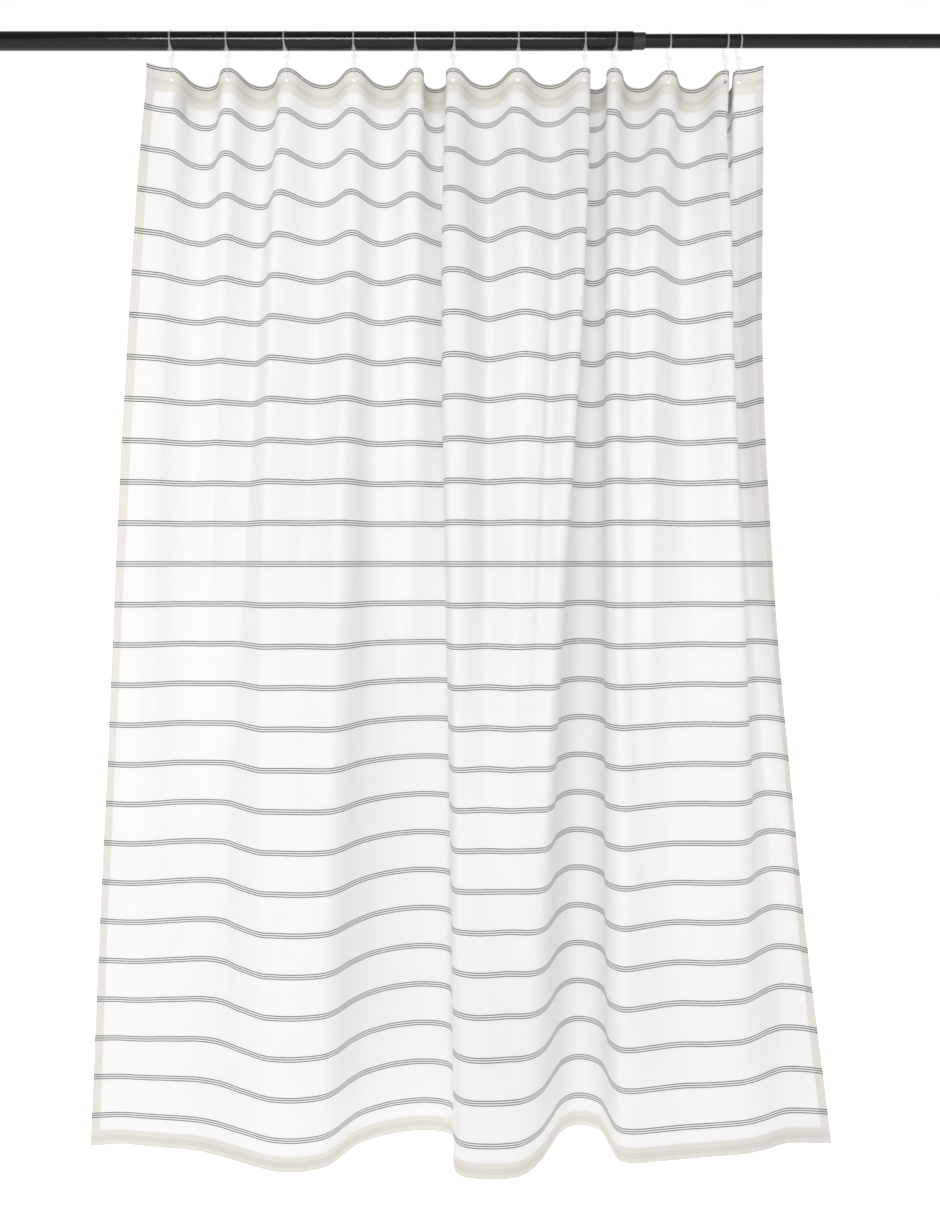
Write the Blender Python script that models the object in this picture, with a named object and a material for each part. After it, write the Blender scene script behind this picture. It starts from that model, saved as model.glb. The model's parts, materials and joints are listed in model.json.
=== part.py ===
"""Shower curtain gathered on a telescopic tension rod.

Metres, +Z up.  The origin is the centre of the left wall pad's outer face, on the rod's axis.
+X runs along the rod to the right wall, +Y to the side away from the room, and the curtain
hangs down -Z.  The curtain is a flat rectangle hung in folds: every level of it is a plan
outline with the cloth's full width in it, so the cloth is never stretched.
"""

import math

import bmesh
import bpy
from mathutils import Vector

# ---- clearances
GAP = 0.0003            # between pieces that touch
HOOK_SEAT = 0.0004      # between a hook's crown and the tube that it rides on
HOOK_PLAY = 0.0020      # between the side of the thick tube and the inside of a hook's ring
EYE_PLAY = 0.0008       # between a hook's eye and the upper end of its buttonhole

# ---- rod
ROD_LENGTH = 1.840      # wall to wall
OUTER_TUBE_DIAMETER = 0.032
OUTER_TUBE_END = 1.216  # where the thick tube stops
INNER_TUBE_DIAMETER = 0.0235
TUBE_WALL = 0.0012
TUBE_OVERLAP = 0.270    # length of the thin tube that is inside the thick one
RIM_ROUNDING = 0.0012

BUSH_SPIGOT = 0.030     # part of the bush that is inside the thick tube
BUSH_NOSE = 0.022       # part that shows
BUSH_NOSE_WALL = 0.0022

PAD_DIAMETER = 0.042
PAD_THICKNESS = 0.006
PAD_RECESS = 0.003      # how deep the pad sits in its end cap
CAP_RIM = 0.003         # wall of the cap around the pad
CAP_FLOOR = 0.004
CAP_SOCKET = 0.033      # length of tube that the cap holds
CAP_WALL = 0.0025

CAM_ECCENTRICITY = 0.0015
CAM_CLEARANCE = 0.0009  # between the cam and the thick tube's bore, before the cam is turned
CAM_WIDTH = 0.012
JOURNAL_DIAMETER = 0.012
CORE_SPIGOT = 0.025
CORE_FLANGE = 0.003
CORE_HEAD = 0.003
CORE_HEAD_LIP = 0.002

# ---- hooks, by place along the rod and turn about the vertical
HOOK_X = (0.377, 0.479, 0.586, 0.709, 0.822, 0.889, 1.007, 1.129, 1.182, 1.282, 1.385, 1.409)
HOOK_YAW = (4, 3, -6, 2, -3, 10, 3, -2, 8, 0, 2, 2)
HOOK_REACH = 0.0825      # inside length, from the crown to the strand that carries the cloth
HOOK_BAND = 0.003       # width of the ring
HOOK_FLARE = 0.0042     # how much wider the hook is where the ring meets the neck
HOOK_NECK_BAND = 0.008
HOOK_EYE_BAND = 0.0055
HOOK_THICKNESS = 0.0026
HOOK_NECK_GAP = 0.0044  # between the front and the back strand
HOOK_EYE_RADIUS = 0.005
HOOK_SPLIT = 0.0006     # opening of the snap, in the back strand

# ---- cloth
CLOTH_WIDTH = 1.800
CLOTH_DROP = 2.012
CLOTH_THICKNESS = 0.0006
EDGE_MARGIN = 0.045     # from a side edge to the nearest buttonhole
BUTTONHOLE_WIDTH = 0.0072
BUTTONHOLE_LENGTH = 0.006
BUTTONHOLE_BELOW_EDGE = 0.019
TOP_EDGE_DROOP = 0.012  # how far the top edge sinks between two hooks
FOLD_SHARPNESS = 0.7    # below 1, a fold turns sharply at the hooks and gently between them
HELD_FLAT = 0.0050      # to either side of a hook, the cloth that its eye holds flat
LEVELLED_BELOW = 0.25   # share of the drop from which the stripes of the weave hang level
EDGE_CURL = math.radians(50)

LABEL_WIDTH = 0.032
LABEL_LENGTH = 0.036
LABEL_THICKNESS = 0.0008
LABEL_BELOW_EDGE = 0.042
LABEL_FROM_SIDE = 0.050
LABEL_BEHIND = 0.0016

# The folds below the hooks, as plan outlines (x, y) at three levels, each a share of the drop.
# An outline has one group of points for the left flap, and then one for each hook in turn,
# which starts straight below the hook's fold and runs on to the next.
FOLDS_BELOW_HOOKS = 0.19
OUTLINE_BELOW_HOOKS = (
    ((0.310, -0.035), (0.345, -0.022)),
    ((0.365, -0.010), (0.390, 0.018), (0.418, 0.028), (0.446, 0.010)),
    ((0.466, 0.000), (0.488, 0.020), (0.514, 0.038), (0.532, 0.030)),
    ((0.556, -0.018), (0.578, -0.016), (0.607, 0.005), (0.636, 0.022), (0.664, 0.006)),
    ((0.694, -0.024), (0.714, -0.020), (0.742, 0.026), (0.768, 0.027)),
    ((0.801, 0.000), (0.822, -0.004), (0.850, 0.020), (0.880, 0.034), (0.868, -0.008)),
    ((0.877, -0.050), (0.910, -0.050), (0.950, 0.002), (0.976, -0.014)),
    ((1.015, -0.058), (1.048, -0.040), (1.076, -0.010)),
    ((1.108, -0.046), (1.126, -0.040), (1.126, 0.006), (1.150, 0.038), (1.168, 0.014)),
    ((1.168, -0.036), (1.184, -0.054), (1.213, -0.036)),
    ((1.244, -0.058), (1.272, -0.030), (1.310, 0.020), (1.344, 0.004)),
    ((1.372, -0.028), (1.392, -0.034), (1.398, 0.012)),
    ((1.420, 0.038), (1.440, -0.006), (1.450, -0.024)),
)
FOLDS_ABOVE_HEM = 0.75
OUTLINE_ABOVE_HEM = (
    ((0.224, 0.006), (0.280, -0.004)),
    ((0.317, 0.000), (0.361, 0.010)),
    ((0.415, 0.017), (0.456, 0.004), (0.484, -0.026)),
    ((0.530, -0.067), (0.560, -0.075), (0.612, -0.080)),
    ((0.656, -0.074), (0.682, -0.046), (0.704, 0.000), (0.738, 0.045)),
    ((0.783, 0.076), (0.832, 0.088), (0.878, 0.072), (0.884, 0.008)),
    ((0.892, -0.050), (0.922, -0.062)),
    ((0.988, -0.058), (1.030, -0.058)),
    ((1.056, -0.046), (1.072, -0.010), (1.090, 0.058), (1.120, 0.104), (1.158, 0.096),
     (1.177, 0.056), (1.176, 0.000)),
    ((1.190, -0.032), (1.212, -0.042)),
    ((1.255, -0.022), (1.306, -0.002), (1.388, -0.004)),
    ((1.442, 0.008), (1.478, 0.060)),
    ((1.500, 0.084), (1.518, 0.094), (1.546, 0.084), (1.560, 0.060)),
)
OUTLINE_AT_HEM = (
    ((0.196, 0.000), (0.252, 0.006)),
    ((0.312, -0.006), (0.382, -0.018)),
    ((0.424, -0.032), (0.508, -0.078)),
    ((0.558, -0.102), (0.600, -0.108)),
    ((0.644, -0.095), (0.668, -0.072), (0.690, -0.026), (0.714, 0.012)),
    ((0.764, 0.046), (0.830, 0.064), (0.880, 0.050), (0.892, 0.000)),
    ((0.888, -0.080), (0.904, -0.124), (0.952, -0.136)),
    ((0.984, -0.134), (1.016, -0.120)),
    ((1.050, -0.068), (1.076, 0.000), (1.100, 0.060), (1.136, 0.088), (1.172, 0.064),
     (1.184, 0.006)),
    ((1.194, -0.056), (1.222, -0.074)),
    ((1.268, -0.068), (1.346, -0.052)),
    ((1.434, -0.036), (1.478, -0.018)),
    ((1.522, 0.006), (1.556, 0.010), (1.612, 0.006)),
)

# ---- fineness
TURN_SIDES = 48
POINTS_PER_FOLD = 40    # in a plan outline, before its length is measured
SPLINE_STEPS = 10
CELLS_PER_FOLD = 6
CLOTH_ROWS = 12

# ---- worked out from the above
outer_radius = OUTER_TUBE_DIAMETER / 2
outer_bore = outer_radius - TUBE_WALL
inner_radius = INNER_TUBE_DIAMETER / 2
inner_bore = inner_radius - TUBE_WALL
inner_tube_start = OUTER_TUBE_END - TUBE_OVERLAP
cap_floor_end = PAD_THICKNESS + GAP + CAP_FLOOR
ring_radius = outer_radius + HOOK_PLAY
buttonhole_pitch = (CLOTH_WIDTH - 2 * EDGE_MARGIN) / (len(HOOK_X) - 1)
buttonholes = [EDGE_MARGIN + number * buttonhole_pitch for number in range(len(HOOK_X))]


# ---------------------------------------------------------------- small tools

def clear_scene():
    for old in list(bpy.data.objects):
        bpy.data.objects.remove(old)


def material(name, colour, roughness, metallic=0.0, alpha=1.0):
    made = bpy.data.materials.new(name)
    made.use_nodes = True
    shader = made.node_tree.nodes["Principled BSDF"]
    shader.inputs["Base Color"].default_value = (*colour, 1.0)
    shader.inputs["Roughness"].default_value = roughness
    shader.inputs["Metallic"].default_value = metallic
    shader.inputs["Alpha"].default_value = alpha
    return made


def add_object(name, shape, finish, place, parent):
    """Turn a bmesh into a named object whose origin is at place."""
    bmesh.ops.recalc_face_normals(shape, faces=shape.faces)
    bmesh.ops.translate(shape, verts=shape.verts, vec=-Vector(place))
    mesh = bpy.data.meshes.new(name)
    shape.to_mesh(mesh)
    shape.free()
    mesh.shade_smooth()
    mesh.set_sharp_from_angle(angle=math.radians(35))
    mesh.materials.append(finish)
    made = bpy.data.objects.new(name, mesh)
    bpy.context.collection.objects.link(made)
    made.parent = parent
    made.location = Vector(place) - (parent.location if parent else Vector())
    return made


def add_pivot(name, place, parent=None):
    pivot = bpy.data.objects.new(name, None)
    bpy.context.collection.objects.link(pivot)
    pivot.parent = parent
    pivot.location = place
    return pivot


def mix(low, high, share):
    return low + (high - low) * share


def smooth(share):
    share = min(max(share, 0.0), 1.0)
    return share * share * (3 - 2 * share)


def length_of(points):
    return sum(math.dist(a, b) for a, b in zip(points, points[1:]))


def spline(points, steps):
    """A smooth curve through all the points (Catmull-Rom)."""
    ends = [points[0], *points, points[-1]]
    curve = []
    for before, start, end, after in zip(ends, ends[1:], ends[2:], ends[3:]):
        for step in range(steps):
            t = step / steps
            curve.append(tuple(
                0.5 * (2 * b + (c - a) * t + (2 * a - 5 * b + 4 * c - d) * t ** 2
                       + (3 * b - a - 3 * c + d) * t ** 3)
                for a, b, c, d in zip(before, start, end, after)))
    curve.append(tuple(points[-1]))
    return curve


def at_shares(points, shares):
    """Points at the given shares of a polyline's length; the shares are in rising order."""
    total = length_of(points)
    found, span, start = [], 0, 0.0
    size = math.dist(points[0], points[1])
    for share in shares:
        target = share * total
        while start + size < target and span < len(points) - 2:
            start += size
            span += 1
            size = math.dist(points[span], points[span + 1])
        part = (target - start) / size if size else 0.0
        found.append(tuple(mix(a, b, part) for a, b in zip(points[span], points[span + 1])))
    return found


def turned(name, outline, finish, parent=None):
    """A piece turned about the rod's axis.

    The outline is a list of (x, radius) or (x, radius, centre height).  It is closed on itself,
    or it starts and ends on the axis, where the radius is None.
    """
    shape = bmesh.new()
    rings = []
    for x, radius, *height in outline:
        centre = height[0] if height else 0.0
        if radius is None:
            rings.append([shape.verts.new((x, 0.0, centre))])
            continue
        turns = [2 * math.pi * side / TURN_SIDES for side in range(TURN_SIDES)]
        rings.append([shape.verts.new((x, radius * math.cos(a), centre + radius * math.sin(a)))
                      for a in turns])
    pairs = list(zip(rings, rings[1:]))
    if outline[0][1] is not None:
        pairs.append((rings[-1], rings[0]))
    for first, second in pairs:
        for side in range(TURN_SIDES):
            follow = (side + 1) % TURN_SIDES
            corners = [first[side % len(first)], first[follow % len(first)],
                       second[follow % len(second)], second[side % len(second)]]
            shape.faces.new(list(dict.fromkeys(corners)))
    return add_object(name, shape, finish, (outline[0][0], 0.0, 0.0), parent)


# ---------------------------------------------------------------- rod

def make_outer_tube(finish):
    start = cap_floor_end + GAP
    return turned("rod_outer_tube", [
        (start, outer_bore), (start, outer_radius),
        (OUTER_TUBE_END - RIM_ROUNDING, outer_radius),
        (OUTER_TUBE_END - RIM_ROUNDING * 0.3, outer_radius - RIM_ROUNDING * 0.3),
        (OUTER_TUBE_END, outer_radius - RIM_ROUNDING * 0.9), (OUTER_TUBE_END, outer_bore),
    ], finish)


def make_inner_tube(finish, parent):
    end = ROD_LENGTH - cap_floor_end - GAP
    return turned("rod_inner_tube", [
        (inner_tube_start, inner_bore), (inner_tube_start, inner_radius),
        (end, inner_radius), (end, inner_bore),
    ], finish, parent)


def make_collar_bush(finish):
    """A bush in the mouth of the thick tube; the thin tube slides in it."""
    bore = inner_radius + GAP
    nose = bore + BUSH_NOSE_WALL
    spigot = outer_bore - GAP
    step = OUTER_TUBE_END + GAP
    end = OUTER_TUBE_END + BUSH_NOSE
    return turned("collar_bush", [
        (OUTER_TUBE_END - BUSH_SPIGOT, bore), (OUTER_TUBE_END - BUSH_SPIGOT, spigot),
        (step, spigot), (step, nose),
        (end - RIM_ROUNDING, nose), (end, nose - RIM_ROUNDING * 0.7), (end, bore),
    ], finish)


def make_end_cap(name, tube_radius, face, inward, finish, parent=None):
    """A cup on a tube's end, with a recess for the wall pad; inward is +1 or -1 along X."""
    pad_radius = PAD_DIAMETER / 2
    rim = PAD_THICKNESS - PAD_RECESS
    mouth = cap_floor_end + CAP_SOCKET
    shoulder = cap_floor_end + CAP_SOCKET * 0.3
    outline = [
        (PAD_THICKNESS + GAP, None), (PAD_THICKNESS + GAP, pad_radius + GAP),
        (rim, pad_radius + GAP), (rim, pad_radius + CAP_RIM),
        (shoulder, pad_radius + CAP_RIM), (mouth, tube_radius + CAP_WALL),
        (mouth, tube_radius + GAP), (cap_floor_end, tube_radius + GAP), (cap_floor_end, None),
    ]
    return turned(name, [(face + inward * x, r) for x, r in outline], finish, parent)


def make_wall_pad(name, face, inward, finish, parent=None):
    radius = PAD_DIAMETER / 2
    outline = [
        (0.0, None), (0.0, radius - RIM_ROUNDING), (RIM_ROUNDING, radius),
        (PAD_THICKNESS, radius), (PAD_THICKNESS, None),
    ]
    return turned(name, [(face + inward * x, r) for x, r in outline], finish, parent)


def make_lock(finish_core, finish_cam, parent, cam_parent):
    """The twist lock inside: a core in the thin tube's end, and an eccentric cam on its journal."""
    spigot = inner_bore - GAP
    journal = JOURNAL_DIAMETER / 2
    flange = inner_radius - TUBE_WALL / 2
    flange_end = inner_tube_start - GAP
    journal_end = flange_end - CORE_FLANGE
    head = journal_end - CAM_WIDTH - 2 * GAP
    off = CAM_ECCENTRICITY
    turned("lock_core", [
        (inner_tube_start + CORE_SPIGOT, None), (inner_tube_start + CORE_SPIGOT, spigot),
        (flange_end, spigot), (flange_end, flange), (journal_end, flange),
        (journal_end, journal, off), (head, journal, off), (head, journal + CORE_HEAD_LIP, off),
        (head - CORE_HEAD, journal + CORE_HEAD_LIP, off), (head - CORE_HEAD, None, off),
    ], finish_core, parent)
    right, left = journal_end - GAP, journal_end - GAP - CAM_WIDTH
    cam_radius = outer_bore - CAM_CLEARANCE
    turned("lock_cam", [
        (right, journal + GAP, off), (right, cam_radius), (left, cam_radius),
        (left, journal + GAP, off),
    ], finish_cam, cam_parent)


# ---------------------------------------------------------------- hooks

def tube_radius_at(x):
    return outer_radius if x < OUTER_TUBE_END else inner_radius


def cloth_height_at(x):
    """Height of the buttonhole's upper end for a hook at x."""
    crown = tube_radius_at(x) + HOOK_SEAT
    return crown - HOOK_REACH + EYE_PLAY


def arc(centre, radius, degrees):
    """Points (y, z) on a circle in the hook's plane."""
    turns = [math.radians(d) for d in degrees]
    return [(radius * math.cos(a), centre + radius * math.sin(a)) for a in turns]


def hook_line(crown):
    """The inside line of a hook, as (y, z): from the snap down through the eye, up the front,
    over the crown and back down to the snap."""
    centre = crown - ring_radius
    eye = crown - HOOK_REACH + HOOK_EYE_RADIUS
    half_gap = HOOK_NECK_GAP / 2
    ring = arc(centre, ring_radius, (90, 72, 54, 36, 18, 0, -20, -40))
    neck_top = (half_gap + 0.0012, centre - ring_radius * 1.25)
    neck_middle = (half_gap, neck_top[1] - 0.008)
    neck_bottom = (half_gap, eye + HOOK_EYE_RADIUS * 2.2)
    small = arc(eye, HOOK_EYE_RADIUS, (42, 15, -15, -45, -70, -90))
    snap = mix(neck_middle[1], neck_bottom[1], 0.3)
    upper = [*ring, neck_top, neck_middle, (half_gap, snap + HOOK_SPLIT / 2)]
    lower = [(half_gap, snap - HOOK_SPLIT / 2), neck_bottom, *small]
    front = [(-y, z) for y, z in reversed([*ring, neck_top, neck_middle, neck_bottom, *small])]
    return lower + front[1:] + upper[1:]


def band_width(z, crown):
    """How wide the hook is at height z: a ring, a flare where it meets the neck, and an eye."""
    ring_bottom = crown - 2 * ring_radius
    flare = HOOK_FLARE * math.exp(-((z - ring_bottom + 0.004) / 0.0040) ** 2)
    to_neck = smooth((ring_bottom + 0.010 - z) / 0.012)
    to_eye = smooth((crown - HOOK_REACH + 0.036 - z) / 0.014)
    width = mix(HOOK_BAND, HOOK_NECK_BAND, to_neck)
    return mix(width, HOOK_EYE_BAND, to_eye) + flare


def make_hook(name, x, yaw, finish, parent):
    crown = tube_radius_at(x) + HOOK_SEAT
    line = hook_line(crown)
    shape = bmesh.new()
    turn, sideways = math.sin(math.radians(yaw)), math.cos(math.radians(yaw))
    rings = []
    for index, (y, z) in enumerate(line):
        before, after = line[max(index - 1, 0)], line[min(index + 1, len(line) - 1)]
        along = Vector((after[0] - before[0], after[1] - before[1])).normalized()
        out_y, out_z = -along[1], along[0]
        half = band_width(z, crown) / 2
        section = ((-half, 0.0), (-half, 0.5), (-half * 0.45, 1.0),
                   (half * 0.45, 1.0), (half, 0.5), (half, 0.0))
        ring = []
        for across, depth in section:
            deep_y = y + out_y * depth * HOOK_THICKNESS
            deep_z = z + out_z * depth * HOOK_THICKNESS
            ring.append(shape.verts.new((x + across * sideways - deep_y * turn,
                                         deep_y * sideways + across * turn, deep_z)))
        rings.append(ring)
    for first, second in zip(rings, rings[1:]):
        for side in range(len(first)):
            follow = (side + 1) % len(first)
            shape.faces.new((first[side], first[follow], second[follow], second[side]))
    shape.faces.new(rings[0])
    shape.faces.new(list(reversed(rings[-1])))
    return add_object(name, shape, finish, (x, 0.0, 0.0), parent)


# ---------------------------------------------------------------- cloth

def meander(start, end, length):
    """A fold from one hook to the next, as a meander of the given length that swings to +Y."""
    span = end - start
    squareness = 0.2 + 5.0 * max(0.0, 0.45 - span / length)

    def walk(swing):
        x, y, points = 0.0, 0.0, [(0.0, 0.0)]
        for step in range(POINTS_PER_FOLD):
            share = 2 * (step + 0.5) / POINTS_PER_FOLD
            turn = math.sin(math.pi * min(share, 2 - share) ** FOLD_SHARPNESS)
            turn = math.copysign(turn, 1 - share)
            bend = math.tanh(squareness * turn) / math.tanh(squareness)
            x += math.cos(swing * bend) * length / POINTS_PER_FOLD
            y += math.sin(swing * bend) * length / POINTS_PER_FOLD
            points.append((x, y))
        return points

    low, high = 0.0, math.pi * 0.75
    for _ in range(40):
        swing = (low + high) / 2
        if walk(swing)[-1][0] > span:
            low = swing
        else:
            high = swing
    return [(start + x, y) for x, y in walk(swing)]


def flap(hook_x, outward):
    """The edge of the cloth beyond the last hook, which curls to -Y; it starts at the hook."""
    x, y, points = hook_x, 0.0, [(hook_x, 0.0)]
    for step in range(POINTS_PER_FOLD):
        angle = EDGE_CURL * (step + 0.5) / POINTS_PER_FOLD
        x += outward * math.cos(angle) * EDGE_MARGIN / POINTS_PER_FOLD
        y -= math.sin(angle) * EDGE_MARGIN / POINTS_PER_FOLD
        points.append((x, y))
    return points


def folds_at_hooks():
    """The top edge's plan, fold by fold: it passes every hook, and it swings back between them."""
    folds = [list(reversed(flap(HOOK_X[0], -1)))]
    for start, end in zip(HOOK_X, HOOK_X[1:]):
        free = meander(start + HELD_FLAT, end - HELD_FLAT, buttonhole_pitch - 2 * HELD_FLAT)
        folds.append([(start, 0.0), *free, (end, 0.0)])
    folds.append(flap(HOOK_X[-1], 1))
    return folds


def folds_through(outline):
    """An outline's groups of points joined by one smooth curve, which is cut up fold by fold."""
    curve = spline([point for group in outline for point in group], SPLINE_STEPS)
    folds, start = [], 0
    for group in outline:
        end = min(start + len(group) * SPLINE_STEPS, len(curve) - 1)
        folds.append(curve[start:end + 1])
        start = end
    return folds


def evenly(folds):
    """One list of points for all the folds, with as many points in each."""
    shares = [n / POINTS_PER_FOLD for n in range(POINTS_PER_FOLD)]
    points = [point for fold in folds for point in at_shares(fold, shares)]
    return points + [tuple(folds[-1][-1])]


def plan_levels():
    """The plan outlines and their levels, from the lower end of the buttonholes to the hem."""
    return [((BUTTONHOLE_BELOW_EDGE + BUTTONHOLE_LENGTH) / CLOTH_DROP, evenly(folds_at_hooks())),
            (FOLDS_BELOW_HOOKS, evenly(folds_through(OUTLINE_BELOW_HOOKS))),
            (FOLDS_ABOVE_HEM, evenly(folds_through(OUTLINE_ABOVE_HEM))),
            (1.0, evenly(folds_through(OUTLINE_AT_HEM)))]


def level_slope(before, after, size_before, size_after):
    """Slope at a level that neither overshoots nor kinks, from the slopes of its two spans."""
    if before * after <= 0:
        return 0.0
    weight_before, weight_after = size_before + 2 * size_after, 2 * size_before + size_after
    return (weight_before + weight_after) / (weight_before / before + weight_after / after)


def through_levels(level, levels, values):
    """The value at a level of the smooth curve through one value for each of the levels."""
    sizes = [b - a for a, b in zip(levels, levels[1:])]
    slopes = [(b - a) / size for a, b, size in zip(values, values[1:], sizes)]
    level = max(level, levels[0])
    span = next(n for n, end in enumerate(levels[1:]) if level <= end + 1e-9)
    tangents = []
    for place in (span, span + 1):
        if 0 < place < len(slopes):
            tangents.append(level_slope(slopes[place - 1], slopes[place],
                                        sizes[place - 1], sizes[place]))
        else:
            tangents.append(slopes[min(place, len(slopes) - 1)])
    t = (level - levels[span]) / sizes[span]
    return (mix(values[span], values[span + 1], smooth(t))
            + sizes[span] * t * (1 - t) * ((1 - t) * tangents[0] - t * tangents[1]))


def plan_at(level, plans, shares):
    """The cloth's plan at a level: its folds are as deep as the cloth's full width makes them."""
    levels = [place for place, _ in plans]
    mixed = [tuple(through_levels(level, levels, values) for values in zip(*points))
             for points in zip(*(plan for _, plan in plans))]
    low, high = 0.2, 3.0
    for _ in range(30):
        depth = (low + high) / 2
        if length_of([(x, y * depth) for x, y in mixed]) < CLOTH_WIDTH:
            low = depth
        else:
            high = depth
    return at_shares([(x, y * depth) for x, y in mixed], shares)


def top_edge_height(share):
    """Height of the top edge: level at the hooks, and a little lower between them."""
    along = share * CLOTH_WIDTH
    heights = [cloth_height_at(x) + BUTTONHOLE_BELOW_EDGE for x in HOOK_X]
    place = min(max((along - EDGE_MARGIN) / buttonhole_pitch, 0.0), len(HOOK_X) - 1.0)
    left = min(int(place), len(HOOK_X) - 2)
    part = place - left
    free = (part * buttonhole_pitch - HELD_FLAT) / (buttonhole_pitch - 2 * HELD_FLAT)
    droop = TOP_EDGE_DROOP * math.sin(math.pi * min(max(free, 0.0), 1.0))
    return mix(heights[left], heights[left + 1], smooth(part)) - droop


def cloth_grid(shares, drops):
    """Rows of points on the middle of the cloth."""
    plans = plan_levels()
    level_top = cloth_height_at(0.0) + BUTTONHOLE_BELOW_EDGE
    rows = []
    for drop in drops:
        level = drop / CLOTH_DROP
        levelled = smooth(level / LEVELLED_BELOW)
        rows.append([Vector((x, y, mix(top_edge_height(share), level_top, levelled) - drop))
                     for share, (x, y) in zip(shares, plan_at(level, plans, shares))])
    return rows


def sheet_solid(name, shares, drops, behind, thickness, holes, finish, place, parent):
    """A thin closed solid that lies on the cloth's folds, a distance behind its middle."""
    rows = cloth_grid(shares, drops)
    shape = bmesh.new()
    faces = {}
    for side in (-1, 1):
        for r, row in enumerate(rows):
            for c, point in enumerate(row):
                along = row[min(c + 1, len(row) - 1)] - row[max(c - 1, 0)]
                down = rows[min(r + 1, len(rows) - 1)][c] - rows[max(r - 1, 0)][c]
                normal = along.cross(-down).normalized()
                offset = behind + side * thickness / 2
                faces[side, r, c] = shape.verts.new(point - normal * offset)
    height, width = len(rows) - 1, len(shares) - 1

    def solid(r, c):
        return 0 <= r < height and 0 <= c < width and (r, c) not in holes

    for r in range(height):
        for c in range(width):
            if not solid(r, c):
                continue
            corners = ((r, c), (r, c + 1), (r + 1, c + 1), (r + 1, c))
            for half in (corners[:3], (corners[0], *corners[2:])):
                shape.faces.new([faces[1, *corner] for corner in half])
                shape.faces.new([faces[-1, *corner] for corner in reversed(half)])
            neighbours = ((r - 1, c), (r, c + 1), (r + 1, c), (r, c - 1))
            for number, beside in enumerate(neighbours):
                if solid(*beside):
                    continue
                first, second = corners[number], corners[(number + 1) % 4]
                shape.faces.new((faces[1, *second], faces[1, *first],
                                 faces[-1, *first], faces[-1, *second]))
    return add_object(name, shape, finish, place, parent)


def make_curtain_panel(finish, parent):
    half = BUTTONHOLE_WIDTH / 2
    across = [0.0]
    for number, hole in enumerate(buttonholes):
        across += [hole - half, hole + half]
        if number < len(buttonholes) - 1:
            room = buttonhole_pitch - BUTTONHOLE_WIDTH
            across += [hole + half + room * n / CELLS_PER_FOLD for n in range(1, CELLS_PER_FOLD)]
    across.append(CLOTH_WIDTH)
    across = sorted({*across, *label_columns()})
    hole_end = BUTTONHOLE_BELOW_EDGE + BUTTONHOLE_LENGTH
    below = [mix(hole_end, CLOTH_DROP, n / CLOTH_ROWS) for n in range(1, CLOTH_ROWS + 1)]
    drops = sorted({0.0, BUTTONHOLE_BELOW_EDGE, hole_end, *below, *label_rows()})
    holes = {(drops.index(BUTTONHOLE_BELOW_EDGE), across.index(hole - half))
             for hole in buttonholes}
    return sheet_solid("curtain_panel", [a / CLOTH_WIDTH for a in across], drops, 0.0,
                       CLOTH_THICKNESS, holes, finish, (0, 0, 0), parent)


def label_columns():
    return [LABEL_FROM_SIDE + LABEL_WIDTH * n / 3 for n in range(4)]


def label_rows():
    return [LABEL_BELOW_EDGE + LABEL_LENGTH * n / 3 for n in range(4)]


def make_care_label(finish, parent):
    """A blank label behind the cloth, on the same columns and rows as the cloth it lies on."""
    return sheet_solid("care_label", [a / CLOTH_WIDTH for a in label_columns()], label_rows(),
                       LABEL_BEHIND, LABEL_THICKNESS, set(), finish, (0, 0, 0), parent)


# ---------------------------------------------------------------- the whole curtain

def main():
    clear_scene()
    black = material("rod_black", (0.012, 0.012, 0.013), 0.32)
    collar = material("collar_black", (0.016, 0.016, 0.017), 0.45)
    cap = material("cap_black", (0.018, 0.018, 0.018), 0.5)
    rubber = material("pad_rubber", (0.03, 0.03, 0.03), 0.85)
    core = material("lock_plastic", (0.55, 0.55, 0.54), 0.5)
    clear = material("hook_clear", (0.93, 0.94, 0.95), 0.12, alpha=0.4)
    cloth = material("curtain_cotton", (0.88, 0.87, 0.84), 0.85)
    label = material("label_satin", (0.80, 0.77, 0.70), 0.6)

    make_outer_tube(black)
    make_collar_bush(collar)
    make_end_cap("left_end_cap", outer_radius, 0.0, 1, cap)
    make_wall_pad("left_wall_pad", 0.0, 1, rubber)

    telescope = add_pivot("telescope_slide", (inner_tube_start, 0.0, 0.0))
    cam_axis = add_pivot("cam_axis", (0.0, 0.0, CAM_ECCENTRICITY), telescope)
    make_inner_tube(black, telescope)
    make_end_cap("right_end_cap", inner_radius, ROD_LENGTH, -1, cap, telescope)
    make_wall_pad("right_wall_pad", ROD_LENGTH, -1, rubber, telescope)
    bpy.context.view_layer.update()
    make_lock(core, core, telescope, telescope)

    swing = add_pivot("curtain_swing", (0.0, 0.0, 0.0))
    make_curtain_panel(cloth, swing)
    make_care_label(label, swing)
    for number, (x, yaw) in enumerate(zip(HOOK_X, HOOK_YAW), start=1):
        make_hook(f"hook_{number:02d}", x, yaw, clear, swing)


main()
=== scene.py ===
"""Looks of a striped cotton shower curtain that hangs gathered on a telescopic rod.

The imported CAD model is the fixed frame.  The cloth is the same folded sheet as the CAD's, made
much finer, with turned hems, stitching, worked buttonholes and a label.  The hooks are made again
as smooth moulded plastic, and the rod's own pieces get their finishes.
Metres, +Z up; the curtain's front faces -Y.
"""

import json
import math

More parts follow.
